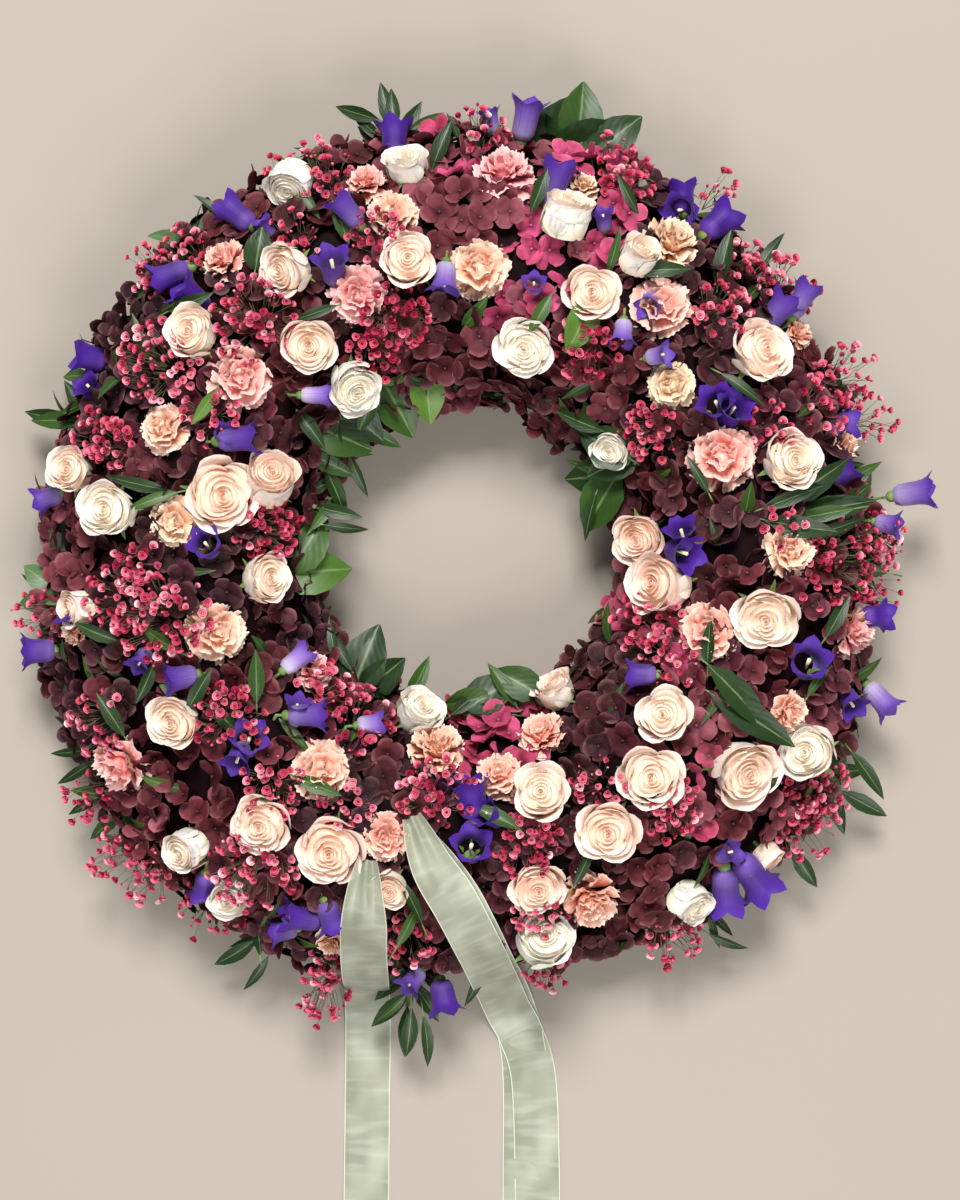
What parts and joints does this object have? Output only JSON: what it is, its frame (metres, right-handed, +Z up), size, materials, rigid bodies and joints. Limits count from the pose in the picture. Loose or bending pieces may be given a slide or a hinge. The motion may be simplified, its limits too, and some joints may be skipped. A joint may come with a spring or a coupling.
{
  "type": "memorial wreath",
  "caption": "Round fresh-flower memorial wreath on a floral foam ring, lying flat, with sheer ribbon tails along the surface.",
  "frame": {"origin": "under the middle of the whole wreath with its ribbons, on the surface it lies on", "axes": "+Z up out of the surface, through the ring; +Y from the cut ends of the ribbons towards the top of the wreath; +X to the right, seen from above"},
  "size_m": [0.749, 0.9954, 0.1387],
  "materials": {
    "organza": "sheer sage-green woven ribbon with paler edges",
    "rose_petals": "soft cream petals, blush towards the heart",
    "carnation_petals": "ruffled salmon-pink petals",
    "bellflower_petals": "satiny violet-blue bells on green calyces",
    "leaves": "glossy dark green leaves",
    "floral_foam": "fine open-cell green foam",
    "tray_plastic": "moulded dark green plastic",
    "hydrangea_petals": "burgundy florets, dusty pink in places"
  },
  "bodies": {
    "root": {"ribbon_tail_left": "organza", "ribbon_tail_back": "organza", "ribbon_tail_right": "organza", "rose_01": "rose_petals", "rose_02": "rose_petals", "rose_03": "rose_petals", "rose_04": "rose_petals", "rose_05": "rose_petals", "rose_06": "rose_petals", "rose_07": "rose_petals", "rose_08": "rose_petals", "rose_09": "rose_petals", "rose_10": "rose_petals", "rose_11": "rose_petals", "rose_12": "rose_petals", "rose_13": "rose_petals", "rose_14": "rose_petals", "rose_15": "rose_petals", "rose_16": "rose_petals", "rose_17": "rose_petals", "rose_18": "rose_petals", "rose_19": "rose_petals", "rose_20": "rose_petals", "rose_21": "rose_petals", "carnation_01": "carnation_petals", "carnation_02": "carnation_petals", "carnation_03": "carnation_petals", "carnation_04": "carnation_petals", "carnation_05": "carnation_petals", "carnation_06": "carnation_petals", "carnation_07": "carnation_petals", "carnation_08": "carnation_petals", "carnation_09": "carnation_petals", "carnation_10": "carnation_petals", "carnation_11": "carnation_petals", "carnation_12": "carnation_petals", "carnation_13": "carnation_petals", "bellflower_01": "bellflower_petals", "bellflower_02": "bellflower_petals", "bellflower_03": "bellflower_petals", "bellflower_04": "bellflower_petals", "bellflower_05": "bellflower_petals", "bellflower_06": "bellflower_petals", "ruscus_sprig_01": "leaves", "ruscus_sprig_02": "leaves", "ruscus_sprig_03": "leaves", "ruscus_sprig_04": "leaves", "ruscus_sprig_05": "leaves", "foam_ring": "floral_foam", "base_tray": "tray_plastic", "hydrangea_01": "hydrangea_petals", "hydrangea_02": "hydrangea_petals", "hydrangea_03": "hydrangea_petals", "hydrangea_04": "hydrangea_petals", "hydrangea_05": "hydrangea_petals", "hydrangea_06": "hydrangea_petals", "hydrangea_07": "hydrangea_petals", "hydrangea_08": "hydrangea_petals", "hydrangea_09": "hydrangea_petals", "hydrangea_10": "hydrangea_petals"}
  },
  "joints": []
}
